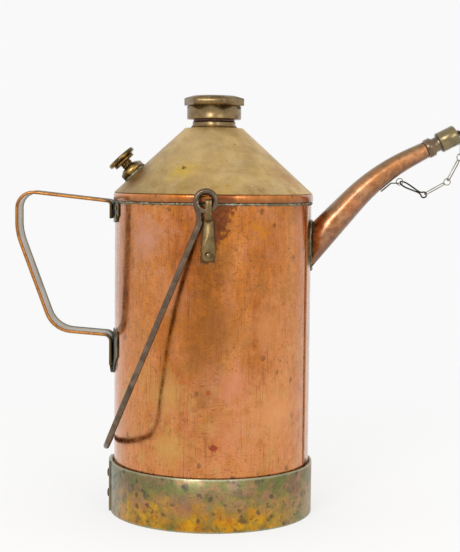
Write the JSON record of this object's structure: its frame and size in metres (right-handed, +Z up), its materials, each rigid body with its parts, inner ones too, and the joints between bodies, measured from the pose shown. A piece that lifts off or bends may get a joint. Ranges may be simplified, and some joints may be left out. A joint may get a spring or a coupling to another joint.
{
  "type": "oil can",
  "caption": "Old copper and brass oil can with a brass base band, conical shoulder, screw filler cap, vent screw, strip handle, wire bail and a long spout with a chained cap.",
  "frame": {"origin": "centre of the flat underside, on the body's axis", "axes": "+Z up along the body's axis, +X towards the spout, with the strip handle at -X and the bail's lugs at -Y and +Y"},
  "size_m": [0.3426, 0.1712, 0.3181],
  "materials": {
    "copper_sheet": "aged copper sheet, stained, half polished",
    "stained_brass": "mottled olive and gold brass",
    "dull_brass": "dull brass sheet",
    "turned_brass": "turned brass, tarnished",
    "darkened_brass": "nearly black tarnished brass",
    "soldered_brass": "brass plate wiped with grey solder",
    "steel_wire": "brown oxidised steel wire",
    "tinned_strip": "worn tinned copper strip with wired edges",
    "chain_wire": "dark fine wire",
    "leather_washer": "oil soaked leather"
  },
  "bodies": {
    "can": {"body_shell": "copper_sheet", "bottom_plate": "dull_brass", "base_ring": "stained_brass", "base_ring_rivet_1": "stained_brass", "base_ring_rivet_2": "stained_brass", "shoulder_ring": "copper_sheet", "shoulder_cone": "dull_brass", "filler_neck": "turned_brass", "vent_boss": "darkened_brass", "bail_lug_front": "soldered_brass", "bail_lug_back": "soldered_brass", "lug_rivet_front": "soldered_brass", "lug_rivet_back": "soldered_brass", "handle": "tinned_strip", "handle_foot_top": "soldered_brass", "handle_foot_bottom": "soldered_brass", "handle_rivet_1": "darkened_brass", "handle_rivet_2": "darkened_brass", "handle_rivet_3": "darkened_brass", "handle_rivet_4": "darkened_brass", "spout_tube": "copper_sheet", "spout_collar": "turned_brass", "chain_anchor": "darkened_brass"},
    "bail": {"bail": "steel_wire"},
    "filler_seal": {"filler_cap_seal": "leather_washer"},
    "filler_cap": {"filler_cap": "turned_brass"},
    "vent_washer": {"vent_valve_washer": "leather_washer"},
    "vent_screw": {"vent_screw": "darkened_brass"},
    "cap_swivel": {"spout_cap_seal": "leather_washer", "cap_swivel": "chain_wire"},
    "spout_cap": {"spout_cap": "turned_brass"},
    "chain_ring": {"chain_ring": "chain_wire"},
    "chain_link_1": {"chain_link_1": "chain_wire"},
    "chain_link_2": {"chain_link_2": "chain_wire"},
    "chain_link_3": {"chain_link_3": "chain_wire"}
  },
  "joints": [
    {"name": "bail_swing", "type": "hinge", "parent": "can", "child": "bail", "pos_m": [-0.0022, 0, 0.2398], "axis": [0, 1, 0], "range_deg": [0, 222]},
    {"name": "filler_cap_lift", "type": "slide", "parent": "can", "child": "filler_seal", "axis": [0, 0, 1], "range_m": [0, 0.009]},
    {"name": "filler_cap_turn", "type": "hinge", "parent": "filler_seal", "child": "filler_cap", "pos_m": [0, 0, 0.3], "axis": [0, 0, 1], "range_deg": [0, 1085]},
    {"name": "vent_lift", "type": "slide", "parent": "can", "child": "vent_washer", "axis": [-0.6748, 0, 0.738], "range_m": [-0.004, 0.0015]},
    {"name": "vent_turn", "type": "hinge", "parent": "vent_washer", "child": "vent_screw", "pos_m": [-0.06, 0, 0.25895], "axis": [-0.6748, 0, 0.738], "range_deg": [-970, 365]},
    {"name": "spout_cap_lift", "type": "slide", "parent": "can", "child": "cap_swivel", "axis": [0.8886, 0, 0.4587], "range_m": [0, 0.0045]},
    {"name": "spout_cap_turn", "type": "hinge", "parent": "cap_swivel", "child": "spout_cap", "pos_m": [0.16175, 0, 0.27899], "axis": [0.8886, 0, 0.4587], "range_deg": [0, 1085]},
    {"name": "chain_ring_swing", "type": "hinge", "parent": "can", "child": "chain_ring", "pos_m": [0.13986, 0, 0.25334], "axis": [0, 1, 0], "range_deg": [-3.6, 0]},
    {"name": "chain_link_1_swing", "type": "hinge", "parent": "chain_ring", "child": "chain_link_1", "pos_m": [0.14221, 0, 0.25444], "axis": [0, 1, 0], "range_deg": [-6.8, 0]},
    {"name": "chain_link_2_swing", "type": "hinge", "parent": "chain_link_1", "child": "chain_link_2", "pos_m": [0.16083, 0, 0.24469], "axis": [0, 1, 0], "range_deg": [0, 9.5]},
    {"name": "chain_link_3_swing", "type": "hinge", "parent": "chain_link_2", "child": "chain_link_3", "pos_m": [0.17846, 0, 0.25474], "axis": [0, 1, 0], "range_deg": [0, 10]}
  ],
  "couplings": [
    {"joint": "filler_cap_turn", "follows": "filler_cap_lift", "rad_per_m": 2094.4},
    {"joint": "vent_turn", "follows": "vent_lift", "rad_per_m": 4188.8},
    {"joint": "spout_cap_turn", "follows": "spout_cap_lift", "rad_per_m": 4188.8},
    {"joint": "chain_ring_swing", "follows": "spout_cap_lift", "rad_per_m": -13.296},
    {"joint": "chain_link_1_swing", "follows": "spout_cap_lift", "rad_per_m": -25.672},
    {"joint": "chain_link_2_swing", "follows": "spout_cap_lift", "rad_per_m": 35.846},
    {"joint": "chain_link_3_swing", "follows": "spout_cap_lift", "rad_per_m": 37.603}
  ]
}
